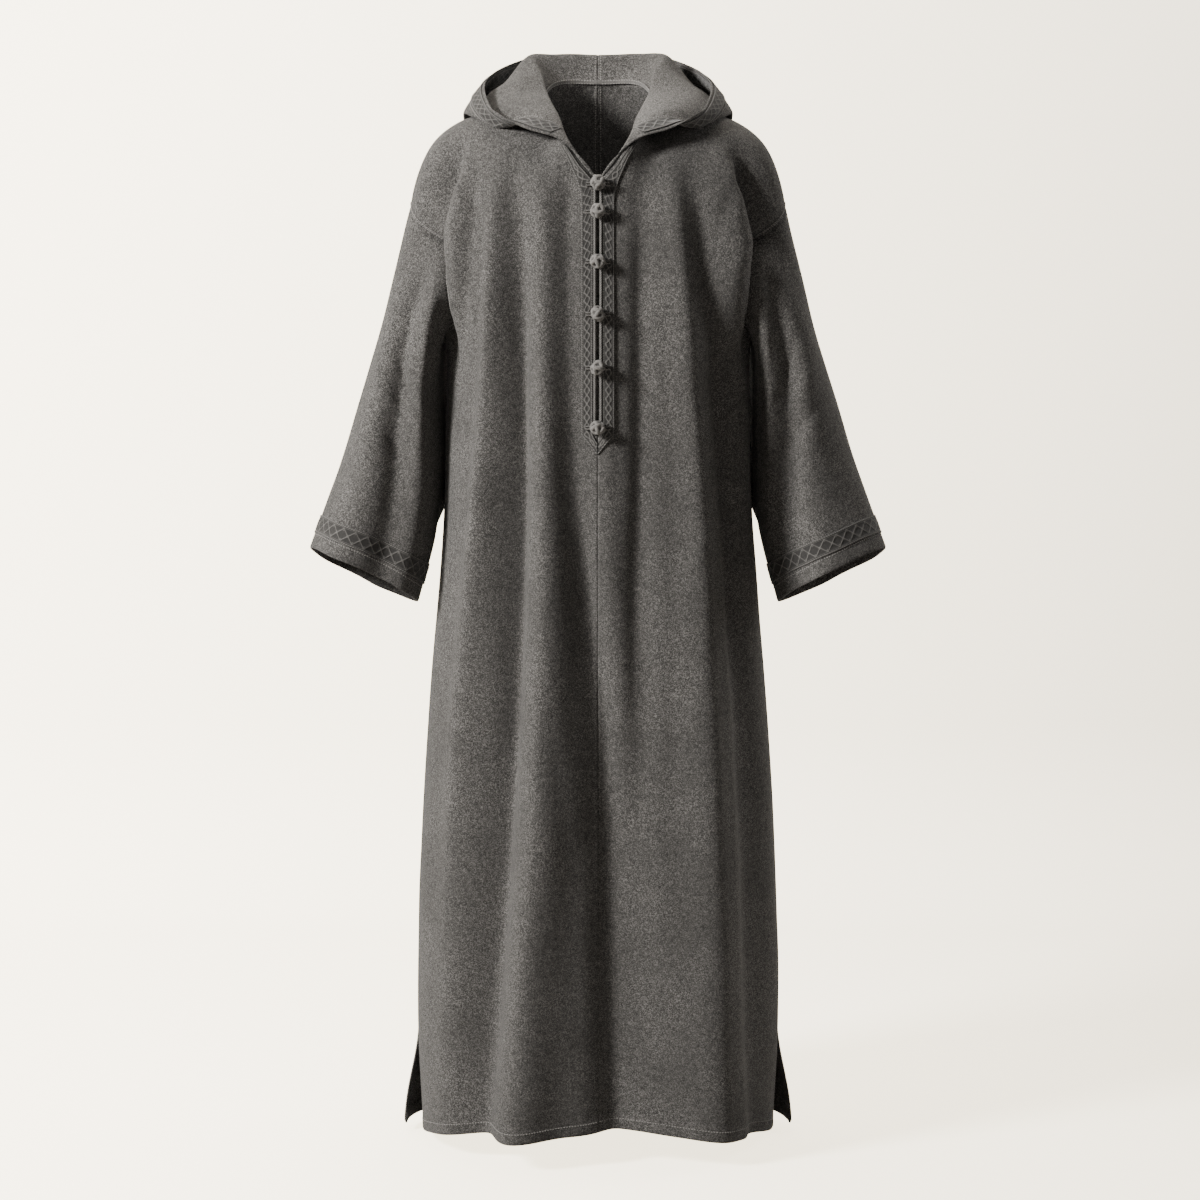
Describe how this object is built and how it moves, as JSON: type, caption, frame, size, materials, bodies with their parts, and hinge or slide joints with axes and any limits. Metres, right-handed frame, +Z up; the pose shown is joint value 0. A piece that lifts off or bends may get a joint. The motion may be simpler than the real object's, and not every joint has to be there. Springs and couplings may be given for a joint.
{
  "type": "hooded djellaba robe",
  "caption": "Ankle-length wool robe with a hood laid back, long straight sleeves, side slits and a braided V-neck placket closed by knotted ball buttons, filled out as worn but hollow.",
  "frame": {"origin": "middle of the neck base, level with the tops of the shoulders, where the wearer's shoulders hold the robe", "axes": "+Z up along the robe's length, -Y to the front, +X to the right in a front view"},
  "size_m": [0.7978, 0.3922, 1.5194],
  "materials": {
    "wool": "melange charcoal wool, brushed and matte",
    "braid": "tone-on-tone woven braid with a slight thread sheen",
    "cord": "twisted round cord",
    "knot": "knotted cord"
  },
  "bodies": {
    "root": {"front_left": "wool", "back_left": "wool", "sleeve_left": "wool", "hood_left": "wool", "placket_braid_left": "braid", "hood_braid_in_left": "braid", "hood_braid_out_left": "braid", "cuff_braid_left": "braid", "placket_cord_left": "cord", "front_right": "wool", "back_right": "wool", "sleeve_right": "wool", "hood_right": "wool", "placket_braid_right": "braid", "hood_braid_in_right": "braid", "hood_braid_out_right": "braid", "cuff_braid_right": "braid", "placket_cord_right": "cord", "button_1": "knot", "button_2": "knot", "button_3": "knot", "button_4": "knot", "button_5": "knot", "button_6": "knot"}
  },
  "joints": []
}
